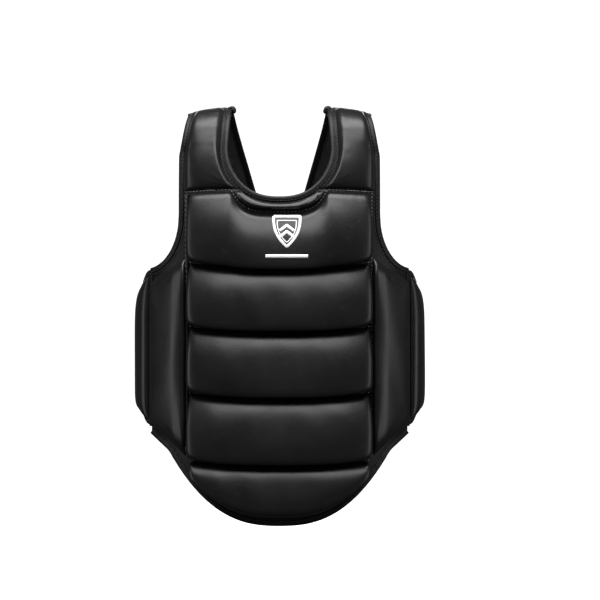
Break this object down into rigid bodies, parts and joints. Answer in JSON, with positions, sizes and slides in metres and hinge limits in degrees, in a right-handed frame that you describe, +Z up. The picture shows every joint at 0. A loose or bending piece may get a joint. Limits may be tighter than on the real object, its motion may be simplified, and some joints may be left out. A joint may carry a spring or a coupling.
{
  "type": "chest protector",
  "caption": "Padded chest protector with stuffed channels, shoulder and side pads, hinged wings and a hook-and-loop back harness.",
  "frame": {"origin": "on the vertical axis of the wearer's torso, at half the protector's height", "axes": "+Z up, the wearer faces -Y, +X is on the wearer's left and on the viewer's right when seen from the front"},
  "size_m": [0.3842, 0.275, 0.5367],
  "materials": {
    "pu_leather": "satin",
    "padding_foam": "matte",
    "lining_cloth": "matte",
    "binding_tape": "matte",
    "elastic_webbing": "matte",
    "loop_pile": "matte",
    "hook_pile": "matte"
  },
  "bodies": {
    "front": {"front_base_panel": "pu_leather", "front_lining": "lining_cloth", "chest_cover_1": "pu_leather", "chest_cover_2": "pu_leather", "chest_cover_3": "pu_leather", "chest_cover_4": "pu_leather", "chest_cover_5": "pu_leather", "chest_foam_1": "padding_foam", "chest_foam_2": "padding_foam", "chest_foam_3": "padding_foam", "chest_foam_4": "padding_foam", "chest_foam_5": "padding_foam", "neck_roll_cover": "pu_leather", "neck_roll_foam": "padding_foam", "neckline_binding": "binding_tape", "hem_binding": "binding_tape", "side_pad_cover_left": "pu_leather", "side_pad_cover_right": "pu_leather", "side_pad_foam_left": "padding_foam", "side_pad_foam_right": "padding_foam", "shoulder_cover_left": "pu_leather", "shoulder_cover_right": "pu_leather", "shoulder_foam_left": "padding_foam", "shoulder_foam_right": "padding_foam", "shoulder_lining_left": "lining_cloth", "shoulder_lining_right": "lining_cloth", "armhole_binding_left": "binding_tape", "armhole_binding_right": "binding_tape", "side_seam_tape_left": "binding_tape", "side_seam_tape_right": "binding_tape"},
    "wing_left": {"wing_cover_left": "pu_leather", "wing_foam_left": "padding_foam", "wing_lining_left": "lining_cloth", "wing_binding_left": "binding_tape", "belt_anchor_patch": "pu_leather", "belt_elastic": "elastic_webbing", "belt_loop_patch": "loop_pile"},
    "wing_right": {"wing_cover_right": "pu_leather", "wing_foam_right": "padding_foam", "wing_lining_right": "lining_cloth", "wing_binding_right": "binding_tape", "wing_loop_panel": "loop_pile"},
    "belt_tab": {"belt_tab_backing": "pu_leather", "belt_tab_hook": "hook_pile"},
    "back_straps": {"strap_cover_left": "pu_leather", "strap_cover_right": "pu_leather", "strap_foam_left": "padding_foam", "strap_foam_right": "padding_foam", "strap_lining_left": "lining_cloth", "strap_lining_right": "lining_cloth", "strap_binding_inner_left": "binding_tape", "strap_binding_inner_right": "binding_tape", "strap_binding_outer_left": "binding_tape", "strap_binding_outer_right": "binding_tape", "yoke_cover": "pu_leather", "yoke_foam": "padding_foam", "yoke_lining": "lining_cloth", "spine_elastic": "elastic_webbing"},
    "yoke_tab": {"yoke_tab_backing": "pu_leather", "yoke_tab_hook": "hook_pile"}
  },
  "joints": [
    {"name": "wing_left_open", "type": "hinge", "parent": "front", "child": "wing_left", "pos_m": [-0.1692, -0.0426, 0], "axis": [0, 0, 1], "range_deg": [0, 60]},
    {"name": "wing_right_open", "type": "hinge", "parent": "front", "child": "wing_right", "pos_m": [0.1692, -0.0426, 0], "axis": [0, 0, 1], "range_deg": [-60, 0]},
    {"name": "back_straps_lift", "type": "hinge", "parent": "front", "child": "back_straps", "pos_m": [0, -0.0337, 0.2655], "axis": [1, 0, 0], "range_deg": [0, 60]},
    {"name": "belt_tab_peel", "type": "hinge", "parent": "wing_left", "child": "belt_tab", "pos_m": [0.0846, 0.1098, -0.049], "axis": [0, 0, 1], "range_deg": [0, 110]},
    {"name": "yoke_tab_peel", "type": "hinge", "parent": "back_straps", "child": "yoke_tab", "pos_m": [0, 0.127, -0.0105], "axis": [1, 0, 0], "range_deg": [0, 110]}
  ],
  "couplings": [
    {"joint": "wing_right_open", "follows": "wing_left_open", "ratio": -1},
    {"joint": "back_straps_lift", "follows": "wing_left_open", "ratio": 1}
  ]
}
